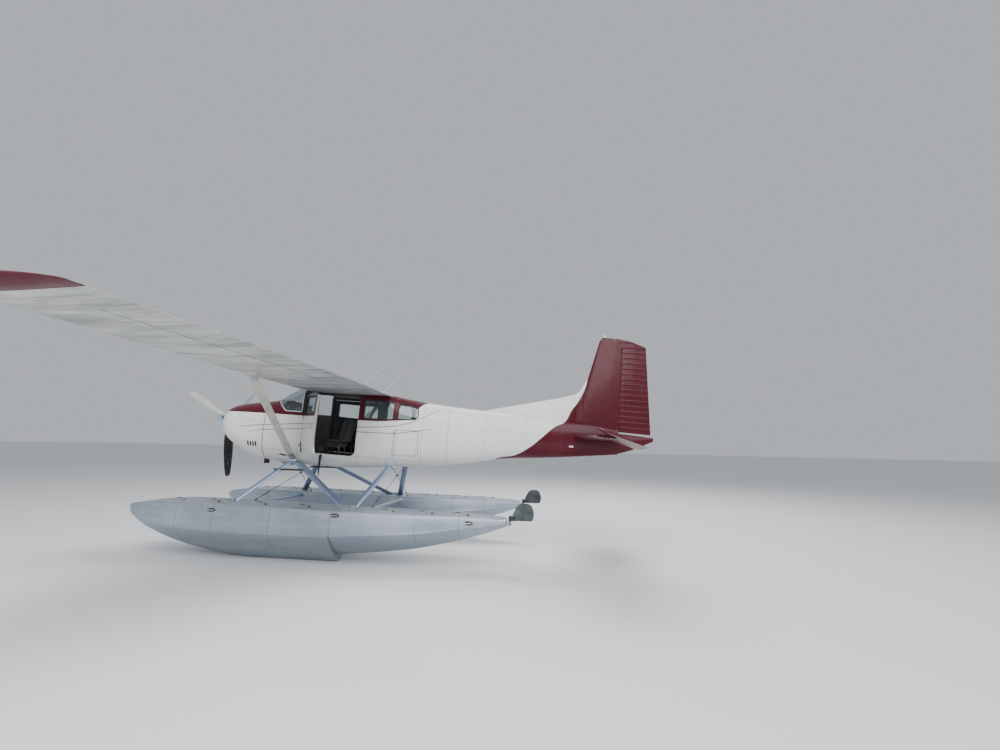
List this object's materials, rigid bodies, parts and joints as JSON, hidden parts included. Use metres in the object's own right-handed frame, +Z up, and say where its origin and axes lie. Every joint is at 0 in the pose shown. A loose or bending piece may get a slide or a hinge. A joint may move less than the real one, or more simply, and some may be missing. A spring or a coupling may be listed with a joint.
{
  "type": "floatplane",
  "caption": "High-wing single-engine floatplane on twin aluminium floats, one cabin door standing open, white with maroon wing tips and tail.",
  "frame": {"origin": "on the floor under the middle of the aircraft's length and span, at the lowest point of the float keels", "axes": "+X aft towards the tail, +Y to starboard along the span, +Z up"},
  "size_m": [8.2378, 10.92, 3.6377],
  "materials": {
    "white_paint": "gloss enamel, slightly weathered",
    "maroon_paint": "gloss enamel, slightly weathered",
    "float_skin": "bare, dull, rubbed sheet",
    "strut_metal": "bare satin tube",
    "cream_paint": "satin",
    "dark_trim": "matt",
    "engine_metal": "dull, oily",
    "glazing": "clear acrylic",
    "lamp_glass": "clear lens"
  },
  "bodies": {
    "airframe": {"cowl": "white_paint", "engine": "engine_metal", "firewall": "float_skin", "windshield": "glazing", "tail_light": "lamp_glass", "fuselage": "white_paint", "roof": "white_paint", "wing_left": "white_paint", "wing_right": "white_paint", "wing_tip_left": "maroon_paint", "wing_tip_right": "maroon_paint", "wing_strut_left": "cream_paint", "wing_strut_right": "cream_paint", "rear_glass_front_left": "glazing", "rear_glass_front_right": "glazing", "rear_glass_aft_left": "glazing", "rear_glass_aft_right": "glazing", "tail_cone": "maroon_paint", "stabilizer": "maroon_paint", "beacon": "lamp_glass", "exhaust_pipe": "engine_metal", "fin": "maroon_paint", "dorsal_fairing": "white_paint", "cabin_floor": "dark_trim", "instrument_panel": "dark_trim", "seat_left": "dark_trim", "seat_right": "dark_trim", "rear_bench": "dark_trim", "float_left": "float_skin", "float_right": "float_skin", "front_legs_left": "strut_metal", "front_legs_right": "strut_metal", "rear_leg_left": "strut_metal", "rear_leg_right": "strut_metal", "front_spreader": "strut_metal", "rear_spreader": "strut_metal", "front_brace_wires": "strut_metal", "rear_brace_wires": "strut_metal"},
    "propeller_hub": {"propeller": "strut_metal", "spinner": "strut_metal"},
    "left_door": {"door_left": "white_paint", "door_glass_left": "glazing"},
    "right_door": {"door_right": "white_paint", "door_glass_right": "glazing"},
    "baggage_hatch": {"baggage_door": "white_paint"},
    "left_flap": {"flap_left": "white_paint"},
    "right_flap": {"flap_right": "white_paint"},
    "left_aileron": {"aileron_left": "white_paint"},
    "right_aileron": {"aileron_right": "white_paint"},
    "elevators": {"elevator": "maroon_paint"},
    "air_rudder": {"rudder": "maroon_paint"},
    "left_water_rudder_head": {"water_rudder_head_left": "strut_metal"},
    "right_water_rudder_head": {"water_rudder_head_right": "strut_metal"},
    "left_water_rudder_blade": {"water_rudder_blade_left": "dark_trim"},
    "right_water_rudder_blade": {"water_rudder_blade_right": "dark_trim"}
  },
  "joints": [
    {"name": "propeller_spin", "type": "hinge", "parent": "airframe", "child": "propeller_hub", "pos_m": [-3.47922, 0, 2.12779], "axis": [0.9981, 0, -0.061], "continuous": true},
    {"name": "left_door_hinge", "type": "hinge", "parent": "airframe", "child": "left_door", "pos_m": [-1.70753, -0.542, 2.01943], "axis": [-0.061, 0, -0.9981], "range_deg": [-51, 19]},
    {"name": "right_door_hinge", "type": "hinge", "parent": "airframe", "child": "right_door", "pos_m": [-1.70753, 0.542, 2.01943], "axis": [0.061, 0, 0.9981], "range_deg": [0, 70]},
    {"name": "baggage_door_hinge", "type": "hinge", "parent": "airframe", "child": "baggage_hatch", "pos_m": [-0.11851, -0.506, 1.7419], "axis": [-0.061, 0, -0.9981], "range_deg": [0, 80]},
    {"name": "left_flap_hinge", "type": "hinge", "parent": "airframe", "child": "left_flap", "pos_m": [-0.66686, -1.7725, 2.62501], "axis": [0.0369, 0.9985, -0.0398], "range_deg": [0, 40]},
    {"name": "right_flap_hinge", "type": "hinge", "parent": "airframe", "child": "right_flap", "pos_m": [-0.66686, 1.7725, 2.62501], "axis": [-0.0369, 0.9985, 0.0398], "range_deg": [0, 40]},
    {"name": "left_aileron_hinge", "type": "hinge", "parent": "airframe", "child": "left_aileron", "pos_m": [-0.82299, -3.915, 2.71011], "axis": [0.0954, 0.9947, -0.0383], "range_deg": [-17, 17]},
    {"name": "right_aileron_hinge", "type": "hinge", "parent": "airframe", "child": "right_aileron", "pos_m": [-0.82299, 3.915, 2.71011], "axis": [-0.0954, 0.9947, 0.0383], "range_deg": [-17, 17]},
    {"name": "elevator_hinge", "type": "hinge", "parent": "airframe", "child": "elevators", "pos_m": [3.4027, 0, 1.86717], "axis": [0, 1, 0], "range_deg": [-44, 0]},
    {"name": "rudder_hinge", "type": "hinge", "parent": "airframe", "child": "air_rudder", "pos_m": [3.61257, 0, 2.59572], "axis": [0.061, 0, 0.9981], "range_deg": [-24, 24]},
    {"name": "left_water_rudder_steering", "type": "hinge", "parent": "airframe", "child": "left_water_rudder_head", "pos_m": [1.90115, -1.13, 0.66], "axis": [0, 0, 1], "range_deg": [-30, 30]},
    {"name": "right_water_rudder_steering", "type": "hinge", "parent": "airframe", "child": "right_water_rudder_head", "pos_m": [1.90115, 1.13, 0.66], "axis": [0, 0, 1], "range_deg": [-30, 30]},
    {"name": "left_water_rudder_lift", "type": "hinge", "parent": "left_water_rudder_head", "child": "left_water_rudder_blade", "pos_m": [1.96115, -1.13, 0.7], "axis": [0, 1, 0], "range_deg": [0, 88]},
    {"name": "right_water_rudder_lift", "type": "hinge", "parent": "right_water_rudder_head", "child": "right_water_rudder_blade", "pos_m": [1.96115, 1.13, 0.7], "axis": [0, 1, 0], "range_deg": [0, 88]}
  ],
  "couplings": [
    {"joint": "right_flap_hinge", "follows": "left_flap_hinge", "ratio": 1},
    {"joint": "right_aileron_hinge", "follows": "left_aileron_hinge", "ratio": -1},
    {"joint": "right_water_rudder_steering", "follows": "left_water_rudder_steering", "ratio": 1},
    {"joint": "right_water_rudder_lift", "follows": "left_water_rudder_lift", "ratio": 1}
  ]
}
